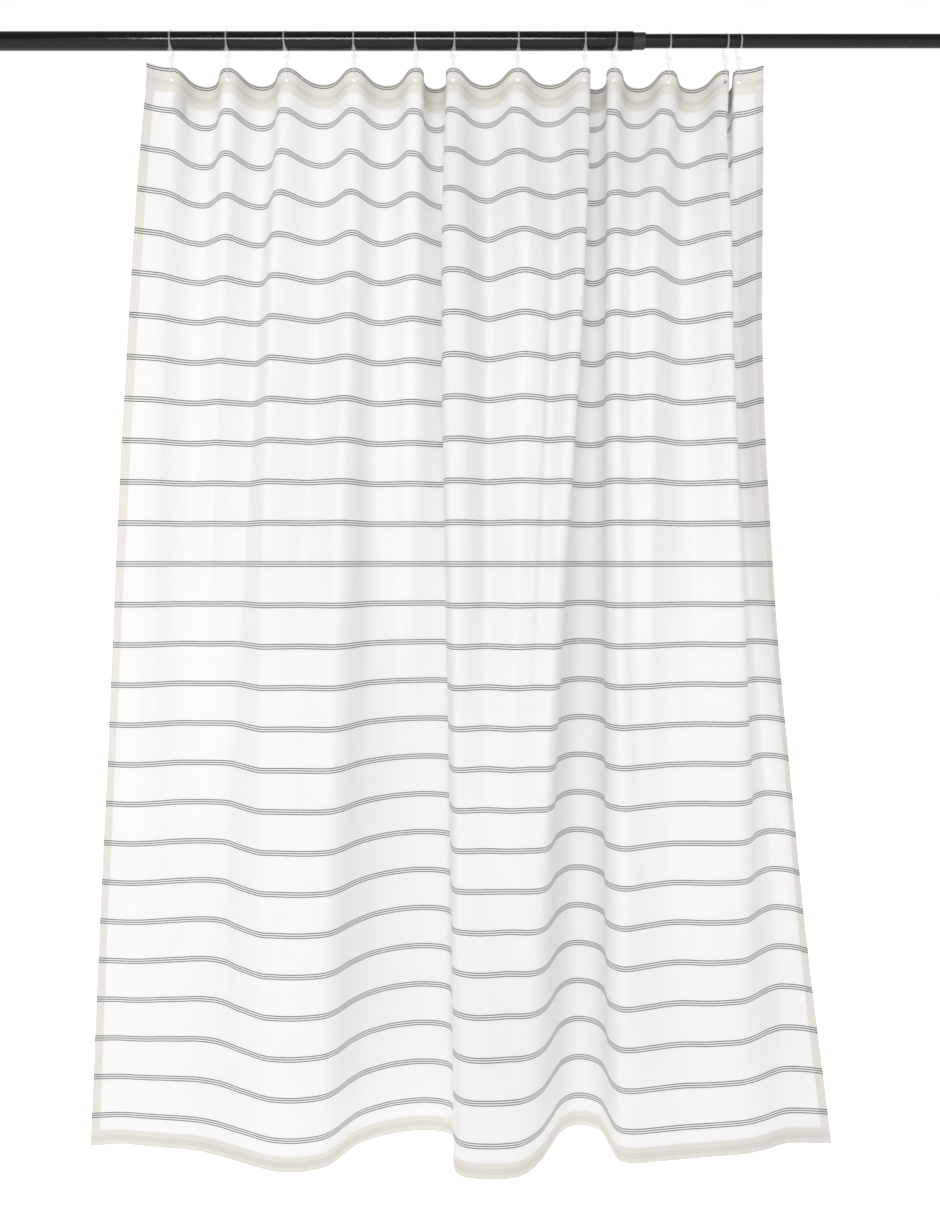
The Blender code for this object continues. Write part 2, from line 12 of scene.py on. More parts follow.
import bpy
import numpy as np
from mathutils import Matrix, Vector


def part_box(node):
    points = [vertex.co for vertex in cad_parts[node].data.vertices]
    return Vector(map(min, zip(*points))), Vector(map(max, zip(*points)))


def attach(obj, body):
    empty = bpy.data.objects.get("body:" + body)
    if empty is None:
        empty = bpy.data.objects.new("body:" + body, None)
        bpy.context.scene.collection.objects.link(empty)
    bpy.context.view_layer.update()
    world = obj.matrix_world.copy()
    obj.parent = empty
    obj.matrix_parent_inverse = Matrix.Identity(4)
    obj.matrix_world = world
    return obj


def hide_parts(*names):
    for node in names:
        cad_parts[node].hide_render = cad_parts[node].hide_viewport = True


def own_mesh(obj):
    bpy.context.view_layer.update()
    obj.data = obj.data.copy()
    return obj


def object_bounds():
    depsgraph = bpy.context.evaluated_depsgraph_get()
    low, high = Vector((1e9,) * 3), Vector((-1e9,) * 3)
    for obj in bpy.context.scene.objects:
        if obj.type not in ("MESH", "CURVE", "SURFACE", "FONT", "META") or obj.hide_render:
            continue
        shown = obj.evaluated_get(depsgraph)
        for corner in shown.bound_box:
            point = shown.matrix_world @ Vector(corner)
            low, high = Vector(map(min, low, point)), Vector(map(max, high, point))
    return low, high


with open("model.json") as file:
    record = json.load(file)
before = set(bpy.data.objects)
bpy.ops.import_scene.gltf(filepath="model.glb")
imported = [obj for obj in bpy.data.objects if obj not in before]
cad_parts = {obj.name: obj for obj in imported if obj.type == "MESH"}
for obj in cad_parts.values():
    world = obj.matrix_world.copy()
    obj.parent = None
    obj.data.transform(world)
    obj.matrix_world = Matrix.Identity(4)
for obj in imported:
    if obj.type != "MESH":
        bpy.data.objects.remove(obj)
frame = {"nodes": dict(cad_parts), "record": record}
cad_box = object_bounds()

# ---- the cloth, as it was cut and hung
CLOTH_WIDTH = 1.800
CLOTH_DROP = 2.012
EDGE_MARGIN = 0.045          # from a side edge to the nearest buttonhole
BUTTONHOLE_WIDTH = 0.0072
BUTTONHOLE_LENGTH = 0.006
BUTTONHOLE_BELOW_EDGE = 0.019
TOP_EDGE_DROOP = 0.012       # how far the top edge sinks between two hooks
FOLD_SHARPNESS = 0.7         # below 1, a fold turns sharply at the hooks and gently between
HELD_FLAT = 0.0050           # to either side of a hook, the cloth that its eye holds flat
LEVELLED_BELOW = 0.25        # share of the drop from which the stripes hang level
EDGE_CURL = math.radians(50)

# ---- the hooks
HOOK_YAW = (4, 3, -6, 2, -3, 10, 3, -2, 8, 0, 2, 2)
HOOK_REACH = 0.0825
HOOK_PLAY = 0.0020
EYE_PLAY = 0.0008
HOOK_BAND = 0.003
HOOK_FLARE = 0.0042          # how much wider the hook is just below its ring
FLARE_BELOW_RING = 0.004
FLARE_SPREAD = 0.0040
HOOK_NECK_BAND = 0.008
HOOK_EYE_BAND = 0.0055
HOOK_THICKNESS = 0.0026
HOOK_NECK_GAP = 0.0044
HOOK_EYE_RADIUS = 0.005
HOOK_SPLIT = 0.0006

# ---- woven stripes: three broken lines each
STRIPE_PITCH = 0.075
FIRST_STRIPE = 0.003         # from the top edge to the middle line of the first stripe
LINE_PITCH = 0.0041
LINE_WIDTH = 0.0019
DASH_PITCH = 0.0044
DASH_LENGTH = 0.0036

# ---- hems, stitching and label
TOP_HEM = 0.045
TOP_BAND = (0.023, 0.032)    # where the turned-under edge makes a third layer
BOTTOM_HEM = 0.029
BOTTOM_BAND = (0.009, 0.019)
SIDE_HEM = 0.016
SEAM_FROM_FOLD_EDGE = 0.0016
LAYER = 0.0004               # from the middle of one layer to the middle of the next
STITCH_PITCH = 0.0032
STITCH_LENGTH = 0.0024
THREAD_RADIUS = 0.00016
BUTTONHOLE_THREAD = 0.0005
LABEL_WIDTH = 0.032
LABEL_LENGTH = 0.036
LABEL_BELOW_EDGE = 0.042
LABEL_FROM_SIDE = 0.050

# ---- fineness
COLUMNS = 400
ROWS = 250
POINTS_PER_FOLD = 40
SPLINE_STEPS = 10

SHEERNESS = 0.25             # share of the light that one layer of the cloth passes on

# ---- light
BACKDROP_LIGHT = 1.02        # brightness of the studio behind the curtain, where white is 1
FLOOR_LIGHT = 1.30           # in front of it, low down
CEILING_LIGHT = 0.35         # and high up
FLOOR_BELOW = (-0.30, -0.60)     # how far down a direction points where the floor's light starts
BACKDROP_BEYOND = (0.0, 0.6)     # how far back it points where the backdrop's light starts
FLOOR_GLOW = 0.86            # light that the floor itself gives off
FLOOR_GAP = 0.06             # from the lowest point of the hem down to the floor
FLOOR_SIZE = 30.0
FRONT_BOX = {"place": (0.2, -4.0, 0.4), "aim": (0.7, 0.0, -1.0), "size": (2.6, 2.0),
             "power": 60.0}
ROD_STRIP = {"place": (0.45, -3.0, 0.16), "aim": (0.45, 0.0, 0.0), "size": (1.9, 0.12),
             "power": 58.0}

# ---- camera
CAMERA_PLACE = (0.92, -1.9, -0.944)
CAMERA_PITCH = math.radians(-2.6)
CAMERA_LENS = 30.25
SENSOR = 36.0

# The folds below the hooks, as plan outlines (x, y) at three levels, each a share of the drop.
# An outline has one group of points for the left flap, and then one for each hook in turn.
FOLDS_BELOW_HOOKS = 0.19
OUTLINE_BELOW_HOOKS = (
    ((0.310, -0.035), (0.345, -0.022)),
    ((0.365, -0.010), (0.390, 0.018), (0.418, 0.028), (0.446, 0.010)),
    ((0.466, 0.000), (0.488, 0.020), (0.514, 0.038), (0.532, 0.030)),
    ((0.556, -0.018), (0.578, -0.016), (0.607, 0.005), (0.636, 0.022), (0.664, 0.006)),
    ((0.694, -0.024), (0.714, -0.020), (0.742, 0.026), (0.768, 0.027)),
    ((0.801, 0.000), (0.822, -0.004), (0.850, 0.020), (0.880, 0.034), (0.868, -0.008)),
    ((0.877, -0.050), (0.910, -0.050), (0.950, 0.002), (0.976, -0.014)),
    ((1.015, -0.058), (1.048, -0.040), (1.076, -0.010)),
    ((1.108, -0.046), (1.126, -0.040), (1.126, 0.006), (1.150, 0.038), (1.168, 0.014)),
    ((1.168, -0.036), (1.184, -0.054), (1.213, -0.036)),
    ((1.244, -0.058), (1.272, -0.030), (1.310, 0.020), (1.344, 0.004)),
    ((1.372, -0.028), (1.392, -0.034), (1.398, 0.012)),
    ((1.420, 0.038), (1.440, -0.006), (1.450, -0.024)),
)
FOLDS_ABOVE_HEM = 0.75
OUTLINE_ABOVE_HEM = (
    ((0.224, 0.006), (0.280, -0.004)),
    ((0.317, 0.000), (0.361, 0.010)),
    ((0.415, 0.017), (0.456, 0.004), (0.484, -0.026)),
    ((0.530, -0.067), (0.560, -0.075), (0.612, -0.080)),
    ((0.656, -0.074), (0.682, -0.046), (0.704, 0.000), (0.738, 0.045)),
    ((0.783, 0.076), (0.832, 0.088), (0.878, 0.072), (0.884, 0.008)),
    ((0.892, -0.050), (0.922, -0.062)),
    ((0.988, -0.058), (1.030, -0.058)),
    ((1.056, -0.046), (1.072, -0.010), (1.090, 0.058), (1.120, 0.104), (1.158, 0.096),
     (1.177, 0.056), (1.176, 0.000)),
    ((1.190, -0.032), (1.212, -0.042)),
    ((1.255, -0.022), (1.306, -0.002), (1.388, -0.004)),
    ((1.442, 0.008), (1.478, 0.060)),
    ((1.500, 0.084), (1.518, 0.094), (1.546, 0.084), (1.560, 0.060)),
)
OUTLINE_AT_HEM = (
    ((0.196, 0.000), (0.252, 0.006)),
    ((0.312, -0.006), (0.382, -0.018)),
    ((0.424, -0.032), (0.508, -0.078)),
    ((0.558, -0.102), (0.600, -0.108)),
    ((0.644, -0.095), (0.668, -0.072), (0.690, -0.026), (0.714, 0.012)),
    ((0.764, 0.046), (0.830, 0.064), (0.880, 0.050), (0.892, 0.000)),
    ((0.888, -0.080), (0.904, -0.124), (0.952, -0.136)),
    ((0.984, -0.134), (1.016, -0.120)),
    ((1.050, -0.068), (1.076, 0.000), (1.100, 0.060), (1.136, 0.088), (1.172, 0.064),
     (1.184, 0.006)),
    ((1.194, -0.056), (1.222, -0.074)),
    ((1.268, -0.068), (1.346, -0.052)),
    ((1.434, -0.036), (1.478, -0.018)),
    ((1.522, 0.006), (1.556, 0.010), (1.612, 0.006)),
)


# ---- worked out from the frame and the sizes above
def middle_of(node, axis):
    low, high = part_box(node)
    return (low[axis] + high[axis]) / 2


hook_nodes = sorted(name for name in frame["nodes"] if name.startswith("hook_"))
hook_x = [middle_of(name, 0) for name in hook_nodes]
hook_crown = [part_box(name)[1].z - HOOK_THICKNESS for name in hook_nodes]
outer_radius = (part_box("rod_outer_tube")[1].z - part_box("rod_outer_tube")[0].z) / 2
ring_radius = outer_radius + HOOK_PLAY
buttonhole_pitch = (CLOTH_WIDTH - 2 * EDGE_MARGIN) / (len(hook_x) - 1)
buttonholes = [EDGE_MARGIN + number * buttonhole_pitch for number in range(len(hook_x))]


# ---------------------------------------------------------------- small tools

def smooth(share):
    share = np.clip(share, 0.0, 1.0)
    return share * share * (3 - 2 * share)


def unit(vectors):
    return vectors / np.linalg.norm(vectors, axis=-1, keepdims=True)


def spline(points, steps):
    """A smooth curve through all the points (Catmull-Rom)."""
    points = np.array(points, float)
    ends = np.vstack([points[:1], points, points[-1:]])
    t = (np.arange(steps) / steps)[:, None]
    spans = [0.5 * (2 * b + (c - a) * t + (2 * a - 5 * b + 4 * c - d) * t ** 2
                    + (3 * b - a - 3 * c + d) * t ** 3)
             for a, b, c, d in zip(ends, ends[1:], ends[2:], ends[3:])]
    return np.vstack([*spans, points[-1:]])


def lengths_along(points):
    """Distance from the start of a polyline to each of its points."""
    steps = np.linalg.norm(np.diff(points, axis=0), axis=1)
    return np.concatenate([[0.0], np.cumsum(steps)])


def at_shares(points, shares):
    """Points at the given shares of a polyline's length."""
    along = lengths_along(points)
    return np.stack([np.interp(np.array(shares) * along[-1], along, values)
                     for values in points.T], axis=1)


def soft_noise(x, y, seed):
    """Smooth noise from -1 to 1, about one lump for each unit of x and of y."""
    size = (int(y.max()) + 3, int(x.max()) + 3)
    lattice = np.random.default_rng(seed).uniform(-1, 1, size)
    column, row = np.floor(x).astype(int), np.floor(y).astype(int)
    across, down = smooth(x - column), smooth(y - row)
    above = lattice[row, column] * (1 - across) + lattice[row, column + 1] * across
    below = lattice[row + 1, column] * (1 - across) + lattice[row + 1, column + 1] * across
    return above * (1 - down) + below * down


def add_mesh(name, vertices, faces, finish, uv=None):
    """A smooth mesh object; uv is one pair for each vertex, in metres on the flat cloth."""
    mesh = bpy.data.meshes.new(name)
    mesh.from_pydata(np.asarray(vertices).tolist(), [], np.asarray(faces).tolist())
    mesh.shade_smooth()
    mesh.materials.append(finish)
    if uv is not None:
        layer = mesh.uv_layers.new(name="flat_cloth")
        corners = np.zeros(len(mesh.loops), int)
        mesh.loops.foreach_get("vertex_index", corners)
        layer.data.foreach_set("uv", np.asarray(uv)[corners].ravel())
    made = bpy.data.objects.new(name, mesh)
    bpy.context.collection.objects.link(made)
    return made


def grid_faces(rows, columns):
    """Quads of a grid of vertices; with columns along +X and rows down, they face -Y."""
    index = np.arange(rows * columns).reshape(rows, columns)
    quads = np.stack([index[1:, :-1], index[1:, 1:], index[:-1, 1:], index[:-1, :-1]], axis=-1)
    return quads


def tubes(paths, sides_a, sides_b, radius, sides):
    """Tubes with pinched ends along many paths at once; paths and sides are (tube, point, 3)."""
    count, points = paths.shape[:2]
    turns = np.arange(sides) * 2 * math.pi / sides
    pinch = np.ones(points)
    pinch[[0, -1]] = 0.35
    ring = (sides_a[:, :, None] * np.cos(turns)[:, None]
            + sides_b[:, :, None] * np.sin(turns)[:, None])
    vertices = paths[:, :, None] + ring * (radius * pinch)[None, :, None, None]
    index = np.arange(count * points * sides).reshape(count, points, sides)
    follow = np.roll(index, -1, axis=2)
    faces = np.stack([index[:, :-1], follow[:, :-1], follow[:, 1:], index[:, 1:]], axis=-1)
    return vertices.reshape(-1, 3), faces.reshape(-1, 4)


# ---------------------------------------------------------------- materials

class Finish:
    """A material and short ways to add nodes to it."""

    def __init__(self, name, colour, roughness, **settings):
        self.material = bpy.data.materials.new(name)
        self.material.use_nodes = True
        self.tree = self.material.node_tree
        self.shader = self.tree.nodes["Principled BSDF"]
        self.shader.inputs["Base Color"].default_value = (*colour, 1.0)
        self.shader.inputs["Roughness"].default_value = roughness
        for socket, value in settings.items():
            self.shader.inputs[socket.replace("_", " ")].default_value = value

    def feed(self, socket, value):
        """Set a socket to a number or colour, or link another node's output to it."""
        if isinstance(value, bpy.types.NodeSocket):
            self.tree.links.new(value, socket)
        else:
            socket.default_value = value

    def math(self, operation, *values):
        node = self.tree.nodes.new("ShaderNodeMath")
        node.operation = operation
        for socket, value in zip(node.inputs, values):
            self.feed(socket, value)
        return node.outputs[0]

    def below(self, value, limit, softness=0.0003):
        """1 where the value is under the limit and 0 above it, with a soft edge."""
        node = self.tree.nodes.new("ShaderNodeMapRange")
        node.interpolation_type = "SMOOTHSTEP"
        self.feed(node.inputs["Value"], value)
        for socket, number in (("From Min", limit - softness), ("From Max", limit + softness),
                               ("To Min", 1.0), ("To Max", 0.0)):
            node.inputs[socket].default_value = number
        return node.outputs["Result"]

    def within(self, value, limits):
        return self.math("MULTIPLY", self.below(value, limits[1]),
                         self.math("SUBTRACT", 1.0, self.below(value, limits[0])))

    def mixed(self, share, first, second):
        node = self.tree.nodes.new("ShaderNodeMix")
        node.data_type = "RGBA"
        self.feed(node.inputs["Factor"], share)
        for socket, colour in ((node.inputs[6], first), (node.inputs[7], second)):
            self.feed(socket, (*colour, 1.0) if isinstance(colour, tuple) else colour)
        return node.outputs[2]

    def flat_cloth(self):
        """The place on the flat cloth, in metres across and down."""
        node = self.tree.nodes.new("ShaderNodeUVMap")
        node.uv_map = "flat_cloth"
        split = self.tree.nodes.new("ShaderNodeSeparateXYZ")
        self.tree.links.new(node.outputs["UV"], split.inputs[0])
        return split.outputs["X"], split.outputs["Y"]

    def place(self):
        return self.tree.nodes.new("ShaderNodeTexCoord").outputs["Object"]

    def noise(self, place, scale, detail=2.0, stretch=(1.0, 1.0, 1.0)):
        mapping = self.tree.nodes.new("ShaderNodeMapping")
        mapping.inputs["Scale"].default_value = stretch
        self.tree.links.new(place, mapping.inputs["Vector"])
        node = self.tree.nodes.new("ShaderNodeTexNoise")
        node.inputs["Scale"].default_value = scale
        node.inputs["Detail"].default_value = detail
        self.tree.links.new(mapping.outputs["Vector"], node.inputs["Vector"])
        return node.outputs["Fac"]

    def vector(self, x, y, z=0.0):
        node = self.tree.nodes.new("ShaderNodeCombineXYZ")
        for socket, value in zip(node.inputs, (x, y, z)):
            self.feed(socket, value)
        return node.outputs[0]

    def bump(self, height, distance, strength=1.0):
        node = self.tree.nodes.new("ShaderNodeBump")
        node.inputs["Strength"].default_value = strength
        node.inputs["Distance"].default_value = distance
        self.tree.links.new(height, node.inputs["Height"])
        self.tree.links.new(node.outputs["Normal"], self.shader.inputs["Normal"])
        return node.outputs["Normal"]

    def let_light_through(self, share, colour, normal):
        """Mix the surface with a translucent one."""
        through = self.tree.nodes.new("ShaderNodeBsdfTranslucent")
        self.feed(through.inputs["Color"], colour)
        self.tree.links.new(normal, through.inputs["Normal"])
        both = self.tree.nodes.new("ShaderNodeMixShader")
        self.feed(both.inputs[0], share)
        self.tree.links.new(self.shader.outputs[0], both.inputs[1])
        self.tree.links.new(through.outputs[0], both.inputs[2])
        self.tree.links.new(both.outputs[0], self.tree.nodes["Material Output"].inputs[0])


def striped_cotton():
    """Thin plain-woven cotton with slubs; denser where the hems double it, and painted darker and
    warmer there as shade for the backlight that the extra layers hold back.
    """
    white = (0.82, 0.815, 0.805)
    # Painted shade: the hem and band colours are darker and warmer than the plain white, standing
    # for the backlight that two and three layers of cloth hold back.
    hem_white_painted_shade = (0.775, 0.75, 0.70)
    band_white_painted_shade = (0.715, 0.69, 0.64)
    charcoal = (0.014, 0.0135, 0.013)
    finish = Finish("curtain_cotton", white, 0.86, Sheen_Weight=0.08, Sheen_Roughness=0.5,
                    Specular_IOR_Level=0.2)
    across, down = finish.flat_cloth()
    place = finish.vector(across, down)

    from_stripe = finish.math("PINGPONG", finish.math("SUBTRACT", down, FIRST_STRIPE),
                              STRIPE_PITCH / 2)
    in_stripe = finish.below(from_stripe, LINE_PITCH * 1.5)
    from_line = finish.math("PINGPONG", from_stripe, LINE_PITCH / 2)
    uneven = finish.noise(place, 900.0)
    line = finish.below(
        finish.math("ADD", from_line, finish.math("MULTIPLY", uneven, 0.0004)),
        LINE_WIDTH / 2 + 0.0002, 0.00012)
    outer_line = finish.math("GREATER_THAN", from_stripe, LINE_PITCH / 2)
    shifted = finish.math("ADD", across, finish.math("MULTIPLY", outer_line, DASH_PITCH / 2))
    dash = finish.below(finish.math("PINGPONG", shifted, DASH_PITCH / 2), DASH_LENGTH / 2,
                        0.0002)
    dark = finish.math("MULTIPLY", finish.math("MULTIPLY", line, dash), in_stripe)
    dark = finish.math("MAXIMUM", dark, finish.math("MULTIPLY", in_stripe, 0.03))

    from_side = finish.math("PINGPONG", across, CLOTH_WIDTH / 2)
    from_bottom = finish.math("SUBTRACT", CLOTH_DROP, down)
    hem = finish.math("MAXIMUM", finish.below(down, TOP_HEM), finish.below(from_side, SIDE_HEM))
    hem = finish.math("MAXIMUM", hem, finish.below(from_bottom, BOTTOM_HEM))
    band = finish.math("MAXIMUM", finish.within(down, TOP_BAND),
                       finish.within(from_bottom, BOTTOM_BAND))

    slubs = finish.math("ADD", finish.noise(place, 55.0, 3.0, (1.0, 22.0, 1.0)),
                        finish.noise(place, 55.0, 3.0, (22.0, 1.0, 1.0)))
    # Painted shade: the hem and band zones get the darker, warmer colours in place of the plain
    # white.
    ground = finish.mixed(hem, white, hem_white_painted_shade)
    ground = finish.mixed(band, ground, band_white_painted_shade)
    thread_shade = finish.math("MULTIPLY", finish.math("SUBTRACT", slubs, 0.85), 0.10)
    ground = finish.mixed(thread_shade, ground, (0.70, 0.685, 0.65))
    finish.feed(finish.shader.inputs["Base Color"], finish.mixed(dark, ground, charcoal))

    thread = 0.00060
    warp = finish.math("PINGPONG", across, thread / 2)
    weft = finish.math("PINGPONG", down, thread / 2)
    weave = finish.math("DIVIDE", finish.math("MULTIPLY", warp, weft), thread * thread / 4)
    raised = finish.math("ADD", finish.math("MULTIPLY", dark, 0.8), finish.math(
        "ADD", finish.math("MULTIPLY", weave, 0.35), finish.math("MULTIPLY", slubs, 0.3)))
    normal = finish.bump(raised, 0.00018, 0.6)

    sheer = finish.math("SUBTRACT", SHEERNESS, finish.math("MULTIPLY", hem, 0.6 * SHEERNESS))
    thin = finish.math("MULTIPLY", finish.math("SUBTRACT", 1.0, dark), sheer)
    finish.let_light_through(thin, ground, normal)
    return finish.material


def sewing_thread():
    finish = Finish("sewing_thread", (0.74, 0.725, 0.69), 0.6, Sheen_Weight=0.15)
    twist = finish.noise(finish.place(), 2600.0, 1.0)
    finish.feed(finish.shader.inputs["Base Color"],
                finish.mixed(twist, (0.66, 0.645, 0.61), (0.80, 0.785, 0.75)))
    finish.bump(twist, 0.00008, 0.6)
    return finish.material


def satin_label():
    """A blank woven label: fine ribs across it, and a soft sheen."""
    finish = Finish("label_satin", (0.74, 0.70, 0.60), 0.42, Sheen_Weight=0.2,
                    Specular_IOR_Level=0.45)
    across, down = finish.flat_cloth()
    ribs = finish.math("PINGPONG", down, 0.00035)
    shade = finish.noise(finish.vector(across, down), 140.0, 3.0)
    finish.feed(finish.shader.inputs["Base Color"],
                finish.mixed(shade, (0.70, 0.66, 0.56), (0.80, 0.765, 0.67)))
    finish.bump(finish.math("MULTIPLY", ribs, 2000.0), 0.00005, 0.5)
    return finish.material


def clear_plastic():
    """Thin clear moulded plastic with a faint flow pattern."""
    finish = Finish("hook_clear", (0.78, 0.79, 0.80), 0.25, Alpha=0.17,
                    Specular_IOR_Level=0.25)
    flow = finish.noise(finish.place(), 60.0, 1.0, (1.0, 1.0, 0.35))
    finish.bump(flow, 0.00005, 0.1)
    return finish.material


def satin_black(name, colour, roughness, scratches):
    """Black enamel: orange peel, patches of shine, and a few fine scratches."""
    finish = Finish(name, colour, roughness, Specular_IOR_Level=0.24)
    place = finish.place()
    patches = finish.noise(place, 14.0, 4.0, (1.0, 3.0, 3.0))
    peel = finish.noise(place, 900.0, 2.0)
    rub = finish.noise(place, 60.0, 2.0, (1.0, 14.0, 14.0))
    worn = finish.math("MULTIPLY", finish.math("GREATER_THAN", rub, 0.775 - 0.04 * scratches),
                       finish.math("GREATER_THAN", patches, 0.55))
    light = tuple(value * 5 + 0.05 for value in colour)
    finish.feed(finish.shader.inputs["Base Color"], finish.mixed(worn, colour, light))
    gloss = finish.math("ADD", roughness - 0.04, finish.math("MULTIPLY", patches, 0.08))
    finish.feed(finish.shader.inputs["Roughness"], gloss)
    finish.bump(finish.math("SUBTRACT", peel, finish.math("MULTIPLY", worn, 0.7)), 0.00001, 0.5)
    return finish.material


def matt_moulded(name, colour, roughness, grain):
    """Moulded plastic or rubber with a fine spark-eroded grain."""
    finish = Finish(name, colour, roughness, Specular_IOR_Level=0.35)
    place = finish.place()
    speckle = finish.noise(place, grain, 3.0)
    cloud = finish.noise(place, 25.0, 3.0)
    light = tuple(value * 1.5 + 0.004 for value in colour)
    finish.feed(finish.shader.inputs["Base Color"], finish.mixed(cloud, colour, light))
    finish.feed(finish.shader.inputs["Roughness"],
                finish.math("ADD", roughness - 0.06, finish.math("MULTIPLY", speckle, 0.12)))
    finish.bump(speckle, 0.00010, 0.6)
    return finish.material


# ---------------------------------------------------------------- folds

def meander(start, end, length):
    """A fold from one hook to the next, as a meander of the given length that swings to +Y."""
    span = end - start
    squareness = 0.2 + 5.0 * max(0.0, 0.45 - span / length)
    share = 2 * (np.arange(POINTS_PER_FOLD) + 0.5) / POINTS_PER_FOLD
    turn = np.sin(np.pi * np.minimum(share, 2 - share) ** FOLD_SHARPNESS) * np.sign(1 - share)
    bend = np.tanh(squareness * turn) / math.tanh(squareness)
    step = length / POINTS_PER_FOLD
    low, high = 0.0, math.pi * 0.75
    for _ in range(40):
        swing = (low + high) / 2
        if np.cos(swing * bend).sum() * step > span:
            low = swing
        else:
            high = swing
    x = start + np.concatenate([[0.0], np.cumsum(np.cos(swing * bend)) * step])
    y = np.concatenate([[0.0], np.cumsum(np.sin(swing * bend)) * step])
    return np.stack([x, y], axis=1)


def flap(start, outward):
    """The edge of the cloth beyond the last hook, which curls to -Y; it starts at the hook."""
    angle = EDGE_CURL * (np.arange(POINTS_PER_FOLD) + 0.5) / POINTS_PER_FOLD
    step = EDGE_MARGIN / POINTS_PER_FOLD
    x = start + outward * np.concatenate([[0.0], np.cumsum(np.cos(angle)) * step])
    y = -np.concatenate([[0.0], np.cumsum(np.sin(angle)) * step])
    return np.stack([x, y], axis=1)


def folds_at_hooks():
    """The top edge's plan, fold by fold: it passes every hook, and it swings back between them."""
    folds = [flap(hook_x[0], -1)[::-1]]
    for start, end in zip(hook_x, hook_x[1:]):
        free = meander(start + HELD_FLAT, end - HELD_FLAT, buttonhole_pitch - 2 * HELD_FLAT)
        folds.append(np.vstack([(start, 0.0), free, (end, 0.0)]))
    folds.append(flap(hook_x[-1], 1))
    return folds


def folds_through(outline):
    """An outline's groups of points joined by one smooth curve, which is cut up fold by fold."""
    curve = spline([point for group in outline for point in group], SPLINE_STEPS)
    folds, start = [], 0
    for group in outline:
        end = min(start + len(group) * SPLINE_STEPS, len(curve) - 1)
        folds.append(curve[start:end + 1])
        start = end
    return folds


def evenly(folds):
    """One array of points for all the folds, with as many points in each."""
    shares = np.arange(POINTS_PER_FOLD) / POINTS_PER_FOLD
    return np.vstack([*(at_shares(fold, shares) for fold in folds), folds[-1][-1:]])


class Folds:
    """The plan outlines from the buttonholes to the hem, and the smooth way between them."""

    def __init__(self):
        hole_end = (BUTTONHOLE_BELOW_EDGE + BUTTONHOLE_LENGTH) / CLOTH_DROP
        self.levels = np.array([hole_end, FOLDS_BELOW_HOOKS, FOLDS_ABOVE_HEM, 1.0])
        self.plans = np.stack([evenly(folds_at_hooks()),
                               evenly(folds_through(OUTLINE_BELOW_HOOKS)),
                               evenly(folds_through(OUTLINE_ABOVE_HEM)),
                               evenly(folds_through(OUTLINE_AT_HEM))])
        self.sizes = np.diff(self.levels)
        slopes = np.diff(self.plans, axis=0) / self.sizes[:, None, None]
        self.tangents = np.stack([slopes[0], *map(self.slope_between, slopes, slopes[1:],
                                                  self.sizes, self.sizes[1:]), slopes[-1]])

    @staticmethod
    def slope_between(before, after, size_before, size_after):
        """Slope at a level that neither overshoots nor kinks, from the slopes of its two spans."""
        agree = before * after > 0
        weight_before, weight_after = size_before + 2 * size_after, 2 * size_before + size_after
        before, after = np.where(agree, before, 1.0), np.where(agree, after, 1.0)
        slope = (weight_before + weight_after) / (weight_before / before + weight_after / after)
        return np.where(agree, slope, 0.0)

    def plan_at(self, level, shares):
        """The cloth's plan at a level, as deep as the cloth's full width makes its folds."""
        level = max(level, self.levels[0])
        span = int(np.searchsorted(self.levels[1:-1], level))
        size = self.sizes[span]
        t = (level - self.levels[span]) / size
        eased = smooth(t)
        mixed = (self.plans[span] * (1 - eased) + self.plans[span + 1] * eased
                 + size * t * (1 - t) * ((1 - t) * self.tangents[span]
                                         - t * self.tangents[span + 1]))
        low, high = 0.2, 3.0
        for _ in range(30):
            depth = (low + high) / 2
            if lengths_along(mixed * (1, depth))[-1] < CLOTH_WIDTH:
                low = depth
            else:
                high = depth
        return at_shares(mixed * (1, depth), shares)


def top_edge_height(shares):
    """Height of the top edge: level at the hooks, and a little lower between them."""
    heights = np.array(hook_crown) - HOOK_REACH + EYE_PLAY + BUTTONHOLE_BELOW_EDGE
    place = np.clip((shares * CLOTH_WIDTH - EDGE_MARGIN) / buttonhole_pitch, 0, len(heights) - 1)
    left = np.minimum(place.astype(int), len(heights) - 2)
    part = place - left
    free = (part * buttonhole_pitch - HELD_FLAT) / (buttonhole_pitch - 2 * HELD_FLAT)
    level = heights[left] + (heights[left + 1] - heights[left]) * smooth(part)
    return level - TOP_EDGE_DROOP * np.sin(np.pi * np.clip(free, 0.0, 1.0))


# ---------------------------------------------------------------- cloth

def ripples(across, down):
    """How far the cloth stands off its smooth folds: soft undulation, creases and puckers."""
    x, y = np.meshgrid(across, down)
    broad = 0.0016 * soft_noise(x / 0.075, y / 0.55, 11)
    creases = 0.0006 * soft_noise(x / 0.032, y / 0.16, 12) + 0.0003 * soft_noise(
        x / 0.018, y / 0.05, 13)
    gathers = 0.0012 * soft_noise(x / 0.020, y / 0.14, 14) * np.exp(-y / 0.16)
    from_seam = np.minimum(np.abs(y - TOP_HEM), np.abs(CLOTH_DROP - BOTTOM_HEM - y))
    puckers = 0.00035 * soft_noise(x / 0.009, y / 0.03, 15) * np.exp(-from_seam / 0.009)
    held = smooth((y - 0.5 * BUTTONHOLE_BELOW_EDGE) / 0.15)
    return (broad + creases) * held + gathers * np.minimum(held * 4, 1) + puckers


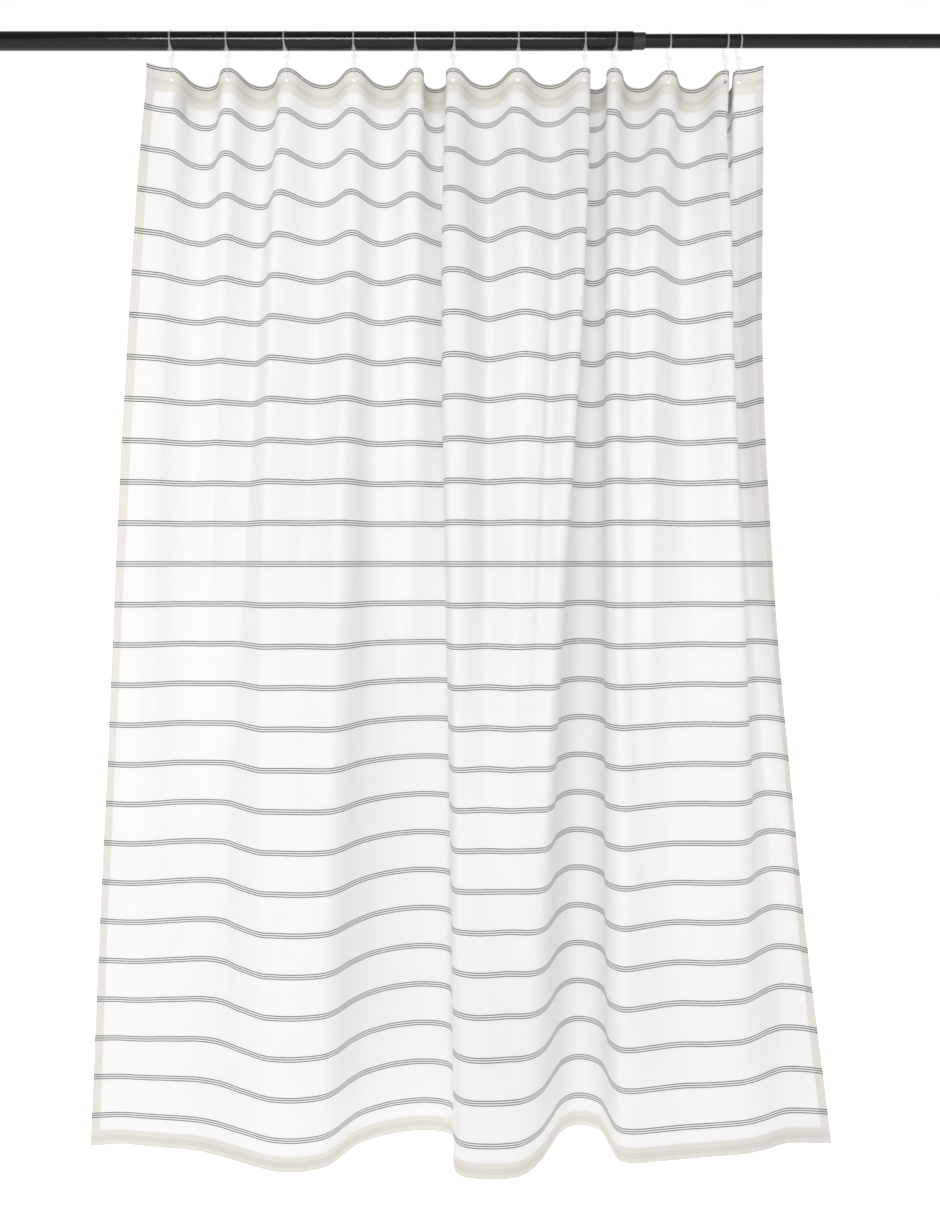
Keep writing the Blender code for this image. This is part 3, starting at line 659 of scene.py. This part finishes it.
class Cloth:
    """The hung cloth: a grid of points by the place across and down the flat cloth."""

    def __init__(self):
        half = BUTTONHOLE_WIDTH / 2
        edges = [hole + side for hole in buttonholes for side in (-half, half)]
        seams = [SIDE_HEM, CLOTH_WIDTH - SIDE_HEM]
        self.across = self.with_edges(CLOTH_WIDTH, COLUMNS, edges + seams)
        self.hole_rows = (BUTTONHOLE_BELOW_EDGE, BUTTONHOLE_BELOW_EDGE + BUTTONHOLE_LENGTH)
        self.down = self.with_edges(CLOTH_DROP, ROWS, [
            *self.hole_rows, 0.004, 0.009, 0.014, *TOP_BAND, 0.026, TOP_HEM,
            CLOTH_DROP - BOTTOM_HEM, CLOTH_DROP - 0.014])
        folds = Folds()
        shares = self.across / CLOTH_WIDTH
        top = top_edge_height(shares)
        level_top = top.max()
        rows = []
        for drop in self.down:
            plan = folds.plan_at(drop / CLOTH_DROP, shares)
            levelled = smooth(drop / CLOTH_DROP / LEVELLED_BELOW)
            height = top * (1 - levelled) + level_top * levelled - drop
            rows.append(np.column_stack([plan, height]))
        self.points = np.stack(rows)
        self.find_normals()
        self.points = self.points + self.normals * ripples(self.across, self.down)[..., None]
        self.find_normals()

    @staticmethod
    def with_edges(size, count, edges):
        """Even divisions of a size, moved on to the given edges where one is near."""
        even = np.linspace(0.0, size, count + 1)
        near = 0.45 * size / count
        kept = [value for value in even if min(abs(value - edge) for edge in edges) > near]
        return np.array(sorted({0.0, size, *kept, *edges}))

    def find_normals(self):
        along = np.gradient(self.points, self.across, axis=1)
        down = np.gradient(self.points, self.down, axis=0)
        self.along = unit(along)
        self.normals = unit(np.cross(along, -down))

    def sample(self, values, across, down):
        """Values of the grid at places on the flat cloth."""
        column = np.clip(np.searchsorted(self.across, across) - 1, 0, len(self.across) - 2)
        row = np.clip(np.searchsorted(self.down, down) - 1, 0, len(self.down) - 2)
        s = ((across - self.across[column])
             / (self.across[column + 1] - self.across[column]))[..., None]
        t = ((down - self.down[row]) / (self.down[row + 1] - self.down[row]))[..., None]
        above = values[row, column] * (1 - s) + values[row, column + 1] * s
        below = values[row + 1, column] * (1 - s) + values[row + 1, column + 1] * s
        return above * (1 - t) + below * t

    def at(self, across, down, behind=0.0):
        """Points at places on the flat cloth, a distance behind it."""
        across, down = np.broadcast_arrays(np.asarray(across, float), np.asarray(down, float))
        behind = np.broadcast_to(np.asarray(behind, float), across.shape)[..., None]
        normal = unit(self.sample(self.normals, across, down))
        return self.sample(self.points, across, down) - normal * behind

    def panel(self, finish):
        """The sheet itself, with an opening at every buttonhole."""
        rows, columns = len(self.down), len(self.across)
        faces = grid_faces(rows, columns)
        middle_x = (self.across[1:] + self.across[:-1]) / 2
        middle_y = (self.down[1:] + self.down[:-1]) / 2
        in_hole = np.zeros(columns - 1, bool)
        for hole in buttonholes:
            in_hole |= np.abs(middle_x - hole) < BUTTONHOLE_WIDTH / 2
        in_rows = (middle_y > self.hole_rows[0]) & (middle_y < self.hole_rows[1])
        kept = ~(in_rows[:, None] & in_hole[None, :])
        x, y = np.meshgrid(self.across, self.down)
        return add_mesh("cotton_panel", self.points.reshape(-1, 3), faces[kept], finish,
                        np.column_stack([x.ravel(), y.ravel()]))

    def strip(self, name, across, down, behind, finish):
        """A second layer over part of the cloth; behind is one distance for each row."""
        x, y = np.meshgrid(across, down)
        layer = self.at(x, y, np.asarray(behind)[:, None] * np.ones_like(x))
        uv = np.column_stack([x.ravel(), y.ravel()])
        return add_mesh(name, layer.reshape(-1, 3), grid_faces(*x.shape).reshape(-1, 4), finish, uv)


def without_holes(cloth, across):
    """Split a row of columns into runs that stop at the buttonholes' sides."""
    half = BUTTONHOLE_WIDTH / 2
    starts = [0.0, *(hole + half for hole in buttonholes)]
    ends = [*(hole - half for hole in buttonholes), CLOTH_WIDTH]
    return [across[(across >= start - 1e-9) & (across <= end + 1e-9)]
            for start, end in zip(starts, ends)]


def make_hems(cloth, finish):
    """The turned layers behind the four edges."""
    made = []
    turn = np.array([0.0, 0.7, 1.0])
    side = np.array([0.0, 0.0006, 0.004, 0.008, 0.012, SIDE_HEM])
    for name, across in (("side_hem_left", side), ("side_hem_right", CLOTH_WIDTH - side[::-1])):
        x, y = np.meshgrid(across, cloth.down)
        rise = np.clip(np.minimum(x, CLOTH_WIDTH - x) / 0.0006, 0, 1)
        points = cloth.at(x, y, rise * LAYER)
        made.append(add_mesh(name, points.reshape(-1, 3), grid_faces(*x.shape).reshape(-1, 4),
                             finish, np.column_stack([x.ravel(), y.ravel()])))
    top_rows = np.array([0.0, 0.0006, 0.005, 0.010, 0.015, BUTTONHOLE_BELOW_EDGE])
    behind = np.concatenate([turn[:2], np.ones(len(top_rows) - 2)]) * 2 * LAYER
    made.append(cloth.strip("top_hem_upper", cloth.across, top_rows, behind, finish))
    hole_end = BUTTONHOLE_BELOW_EDGE + BUTTONHOLE_LENGTH
    middle_rows = np.linspace(BUTTONHOLE_BELOW_EDGE, hole_end, 4)
    for number, run in enumerate(without_holes(cloth, cloth.across)):
        made.append(cloth.strip(f"top_hem_middle_{number:02d}", run, middle_rows,
                                np.full(4, 2 * LAYER), finish))
    lower_rows = np.array([hole_end, 0.037, 0.041, TOP_HEM])
    made.append(cloth.strip("top_hem_lower", cloth.across, lower_rows,
                            np.full(4, 2 * LAYER), finish))
    bottom_rows = CLOTH_DROP - np.array([BOTTOM_HEM, 0.024, 0.019, 0.014, 0.009, 0.004, 0.0006, 0])
    behind = np.concatenate([np.full(6, 2 * LAYER), turn[1::-1] * 2 * LAYER])
    made.append(cloth.strip("bottom_hem", cloth.across, bottom_rows, behind, finish))
    return joined("turned_hems", made)


def joined(name, pieces):
    """Several meshes made into one object."""
    bpy.ops.object.select_all(action="DESELECT")
    for piece in pieces:
        piece.select_set(True)
    bpy.context.view_layer.objects.active = pieces[0]
    bpy.ops.object.join()
    pieces[0].name = pieces[0].data.name = name
    return pieces[0]


def seam_lines():
    """Places on the flat cloth of every stitch's middle, and the way that its seam runs."""
    inset = SEAM_FROM_FOLD_EDGE
    rows = np.arange(STITCH_PITCH, CLOTH_WIDTH - STITCH_PITCH, STITCH_PITCH)
    columns = np.arange(STITCH_PITCH, CLOTH_DROP - STITCH_PITCH, STITCH_PITCH)
    seams = []
    for down in (TOP_HEM - inset, CLOTH_DROP - BOTTOM_HEM + inset):
        seams.append((rows, np.full_like(rows, down), (1.0, 0.0)))
    for across in (SIDE_HEM - inset, CLOTH_WIDTH - SIDE_HEM + inset):
        seams.append((np.full_like(columns, across), columns, (0.0, 1.0)))
    return seams


def make_stitches(cloth, finish):
    """Every stitch of the four seams, on the front and on the back."""
    bow = np.array([-0.5, -0.25, 0.25, 0.5]) * STITCH_LENGTH
    sunk = np.array([1.4, -0.3, -0.3, 1.4]) * THREAD_RADIUS
    all_vertices, all_faces, count = [], [], 0
    for across, down, (run_x, run_y) in seam_lines():
        x = across[:, None] + bow * run_x
        y = down[:, None] + bow * run_y
        middle = cloth.at(x, y)
        normal = unit(cloth.sample(cloth.normals, x, y))
        run = unit(np.gradient(middle, axis=1))
        beside = np.cross(normal, run)
        for front, rest in ((1, 0.0), (-1, 2.2 * LAYER)):
            lifted = middle - normal * (rest + front * sunk[None, :, None])
            vertices, faces = tubes(lifted, beside, normal, THREAD_RADIUS, 5)
            all_vertices.append(vertices)
            all_faces.append(faces + count)
            count += len(vertices)
    return add_mesh("hem_stitches", np.vstack(all_vertices), np.vstack(all_faces), finish)


def make_buttonhole_threads(cloth, finish):
    """A worked edge round every buttonhole: close satin stitches over a cord."""
    corner = 0.0016
    half_width, half_length = BUTTONHOLE_WIDTH / 2, BUTTONHOLE_LENGTH / 2
    turns = np.arange(72) * 2 * math.pi / 72
    round_x = np.sign(np.cos(turns)) * np.abs(np.cos(turns)) ** 0.45
    round_y = np.sign(np.sin(turns)) * np.abs(np.sin(turns)) ** 0.45
    sides = 10
    all_vertices, all_faces, count = [], [], 0
    for hole in buttonholes:
        middle_down = BUTTONHOLE_BELOW_EDGE + half_length
        x = hole + round_x * (half_width + 0.1 * corner)
        y = middle_down + round_y * (half_length + 0.1 * corner)
        line = cloth.at(x, y, LAYER)
        normal = unit(cloth.sample(cloth.normals, x, y))
        run = unit(np.roll(line, -1, axis=0) - np.roll(line, 1, axis=0))
        beside = np.cross(normal, run)
        ridge = 1 + 0.12 * np.cos(np.arange(len(turns)) * math.pi)
        around = np.arange(sides) * 2 * math.pi / sides
        ring = (beside[:, None] * np.cos(around)[:, None]
                + 1.25 * normal[:, None] * np.sin(around)[:, None])
        vertices = line[:, None] + ring * (BUTTONHOLE_THREAD * ridge)[:, None, None]
        index = np.arange(len(turns) * sides).reshape(len(turns), sides) + count
        follow, after = np.roll(index, -1, axis=1), np.roll(index, -1, axis=0)
        faces = np.stack([index, follow, np.roll(after, -1, axis=1), after], axis=-1)
        all_vertices.append(vertices.reshape(-1, 3))
        all_faces.append(faces.reshape(-1, 4))
        count += index.size
    return add_mesh("buttonhole_threads", np.vstack(all_vertices), np.vstack(all_faces), finish)


def make_label(cloth, finish):
    """A blank label folded in a loop, its two ends caught in the top hem's seam."""
    across = LABEL_FROM_SIDE + np.linspace(0.0, LABEL_WIDTH, 17)
    loop = np.linspace(0.0, 2 * LABEL_LENGTH, 49)
    down = LABEL_BELOW_EDGE + LABEL_LENGTH - np.abs(LABEL_LENGTH - loop)
    near_fold = np.clip(1 - np.abs(loop - LABEL_LENGTH) / 0.0012, 0, 1)
    layer = np.where(loop < LABEL_LENGTH, 2.6 * LAYER, 4.2 * LAYER)
    behind = layer * (1 - near_fold) + 3.4 * LAYER * near_fold
    return cloth.strip("woven_label", across, down, behind, finish)


# ---------------------------------------------------------------- hooks

def arc(centre, radius, degrees):
    """Points (y, z) on a circle in the hook's plane."""
    turns = np.radians(degrees)
    return np.column_stack([radius * np.cos(turns), centre + radius * np.sin(turns)])


def hook_line(crown):
    """The inside line of a hook, as (y, z): from the snap down through the eye, up the front,
    over the crown and back down to the snap."""
    centre = crown - ring_radius
    eye = crown - HOOK_REACH + HOOK_EYE_RADIUS
    half_gap = HOOK_NECK_GAP / 2
    ring = arc(centre, ring_radius, np.linspace(90, -40, 15))
    neck_top = (half_gap + 0.0012, centre - ring_radius * 1.25)
    neck_middle = (half_gap, neck_top[1] - 0.008)
    neck_bottom = (half_gap, eye + HOOK_EYE_RADIUS * 2.2)
    small = arc(eye, HOOK_EYE_RADIUS, np.linspace(42, -90, 10))
    snap = neck_middle[1] * 0.7 + neck_bottom[1] * 0.3
    upper = np.vstack([ring, neck_top, neck_middle, (half_gap, snap + HOOK_SPLIT / 2)])
    lower = np.vstack([(half_gap, snap - HOOK_SPLIT / 2), neck_bottom, small])
    front = np.vstack([ring, neck_top, neck_middle, neck_bottom, small])[::-1] * (-1, 1)
    return spline(np.vstack([lower, front[1:], upper[1:]]), 4)


def band_width(z, crown):
    """How wide the hook is at height z: a ring, a flare where it meets the neck, and an eye."""
    ring_bottom = crown - 2 * ring_radius
    flare = HOOK_FLARE * np.exp(-((z - ring_bottom + FLARE_BELOW_RING) / FLARE_SPREAD) ** 2)
    to_neck = smooth((ring_bottom + 0.010 - z) / 0.012)
    to_eye = smooth((crown - HOOK_REACH + 0.036 - z) / 0.014)
    width = HOOK_BAND + (HOOK_NECK_BAND - HOOK_BAND) * to_neck
    return width + (HOOK_EYE_BAND - width) * to_eye + flare


def make_hook(name, x, crown, yaw, finish):
    """A smooth band of rounded section along the hook's line."""
    line = hook_line(crown)
    along = unit(np.gradient(line, axis=0))
    outward = np.column_stack([-along[:, 1], along[:, 0]])
    turns = np.arange(16) * 2 * math.pi / 16
    across = np.sign(np.cos(turns)) * np.abs(np.cos(turns)) ** 0.6
    depth = (1 + np.sign(np.sin(turns)) * np.abs(np.sin(turns)) ** 0.6) / 2
    wide = across * band_width(line[:, 1], crown)[:, None] / 2
    deep = line[:, None] + outward[:, None] * (depth * HOOK_THICKNESS)[:, None]
    turn, sideways = math.sin(math.radians(yaw)), math.cos(math.radians(yaw))
    vertices = np.stack([x + wide * sideways - deep[..., 0] * turn,
                         deep[..., 0] * sideways + wide * turn, deep[..., 1]], axis=-1)
    index = np.arange(vertices.shape[0] * 16).reshape(-1, 16)
    follow = np.roll(index, -1, axis=1)
    sides = np.stack([index[:-1], follow[:-1], follow[1:], index[1:]], axis=-1).reshape(-1, 4)
    faces = [*sides.tolist(), index[0][::-1].tolist(), index[-1].tolist()]
    mesh = bpy.data.meshes.new(name)
    mesh.from_pydata(vertices.reshape(-1, 3).tolist(), [], faces)
    mesh.shade_smooth()
    mesh.materials.append(finish)
    made = bpy.data.objects.new(name, mesh)
    bpy.context.collection.objects.link(made)
    return made


# ---------------------------------------------------------------- stage

def make_floor():
    """A pale floor that is lit evenly all over."""
    finish = Finish("pale_floor", (0.9, 0.9, 0.9), 0.9, Emission_Strength=FLOOR_GLOW)
    finish.shader.inputs["Emission Color"].default_value = (1.0, 1.0, 1.0, 1.0)
    height = cad_box[0][2] - FLOOR_GAP
    corners = [(x * FLOOR_SIZE, y * FLOOR_SIZE, height)
               for x, y in ((-1, -1), (1, -1), (1, 1), (-1, 1))]
    floor = add_mesh("floor", corners, [(0, 1, 2, 3)], finish.material)


def add_area_light(name, place, aim, size, power):
    light = bpy.data.lights.new(name, "AREA")
    light.shape = "RECTANGLE"
    light.size, light.size_y = size
    light.energy = power
    made = bpy.data.objects.new(name, light)
    bpy.context.collection.objects.link(made)
    made.location = place
    direction = np.array(aim) - np.array(place)
    made.rotation_euler = (math.atan2(np.hypot(*direction[:2]), -direction[2]), 0.0,
                           math.atan2(-direction[0], direction[1]))
    return made


def light_stage():
    """A bright backdrop, with a pale floor and a dim ceiling in front of it, and two lights.

    The front box shows only in what is matt, and the strip only in what is glossy.
    """
    world = bpy.data.worlds.new("studio")
    world.use_nodes = True
    nodes, links = world.node_tree.nodes, world.node_tree.links
    direction = nodes.new("ShaderNodeTexCoord")
    split = nodes.new("ShaderNodeSeparateXYZ")
    links.new(direction.outputs["Generated"], split.inputs[0])
    brightness = CEILING_LIGHT
    for axis, limits, bright in (("Z", FLOOR_BELOW, FLOOR_LIGHT),
                                 ("Y", BACKDROP_BEYOND, BACKDROP_LIGHT)):
        ramp = nodes.new("ShaderNodeMapRange")
        ramp.interpolation_type = "SMOOTHSTEP"
        ramp.inputs["From Min"].default_value, ramp.inputs["From Max"].default_value = limits
        ramp.inputs["To Max"].default_value = bright
        if isinstance(brightness, float):
            ramp.inputs["To Min"].default_value = brightness
        else:
            links.new(brightness, ramp.inputs["To Min"])
        links.new(split.outputs[axis], ramp.inputs["Value"])
        brightness = ramp.outputs["Result"]
    links.new(brightness, nodes["Background"].inputs["Strength"])
    nodes["Background"].inputs["Color"].default_value = (1.0, 1.0, 1.0, 1.0)
    bpy.context.scene.world = world
    bpy.context.scene.view_settings.view_transform = "Standard"
    front = add_area_light("front_box", **FRONT_BOX)
    front.visible_glossy = False
    strip = add_area_light("rod_strip", **ROD_STRIP)
    strip.visible_diffuse = False
    strip.visible_transmission = False


def add_camera():
    lens = bpy.data.cameras.new("camera")
    lens.sensor_fit = "VERTICAL"
    lens.sensor_height = SENSOR
    lens.lens = CAMERA_LENS
    camera = bpy.data.objects.new("camera", lens)
    bpy.context.collection.objects.link(camera)
    camera.location = CAMERA_PLACE
    camera.rotation_euler = (math.pi / 2 + CAMERA_PITCH, 0.0, 0.0)
    bpy.context.scene.camera = camera


# ---------------------------------------------------------------- the whole curtain

def dress_rod():
    finishes = {
        "rod_outer_tube": satin_black("rod_black", (0.0040, 0.0038, 0.0037), 0.17, 1.0),
        "rod_inner_tube": satin_black("rod_black_thin", (0.0040, 0.0038, 0.0037), 0.36, 0.6),
        "collar_bush": matt_moulded("collar_black", (0.010, 0.010, 0.0105), 0.46, 1400.0),
        "left_end_cap": matt_moulded("cap_black", (0.012, 0.012, 0.012), 0.5, 1200.0),
        "left_wall_pad": matt_moulded("pad_rubber", (0.028, 0.028, 0.027), 0.85, 700.0),
        "lock_core": matt_moulded("lock_plastic", (0.50, 0.50, 0.49), 0.5, 1500.0),
    }
    finishes["right_end_cap"] = finishes["left_end_cap"]
    finishes["right_wall_pad"] = finishes["left_wall_pad"]
    finishes["lock_cam"] = finishes["lock_core"]
    for name, finish in finishes.items():
        node = frame["nodes"][name]
        node.data.materials.clear()
        node.data.materials.append(finish)


def body_with(node):
    return next(body for body, members in frame["record"]["behaviour"]["bodies"].items()
                if node in members)


def make_hooks():
    finish = clear_plastic()
    made = []
    for node, x, crown, yaw in zip(hook_nodes, hook_x, hook_crown, HOOK_YAW):
        hook = make_hook(node.replace("hook", "clear_hook"), x, crown, yaw, finish)
        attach(hook, body_with(node))
        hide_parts(node)
        made.append(hook)
    return made


def make_curtain(hooks):
    cloth = Cloth()
    cotton = striped_cotton()
    thread = sewing_thread()
    panel = cloth.panel(cotton)
    hems = make_hems(cloth, cotton)
    stitches = make_stitches(cloth, thread)
    threads = make_buttonhole_threads(cloth, thread)
    label = make_label(cloth, satin_label())
    for piece in (panel, hems, stitches, threads, label):
        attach(piece, "curtain")
        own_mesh(piece)
    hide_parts("curtain_panel")
    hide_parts("care_label")


add_camera()
light_stage()
make_floor()
dress_rod()
make_curtain(make_hooks())
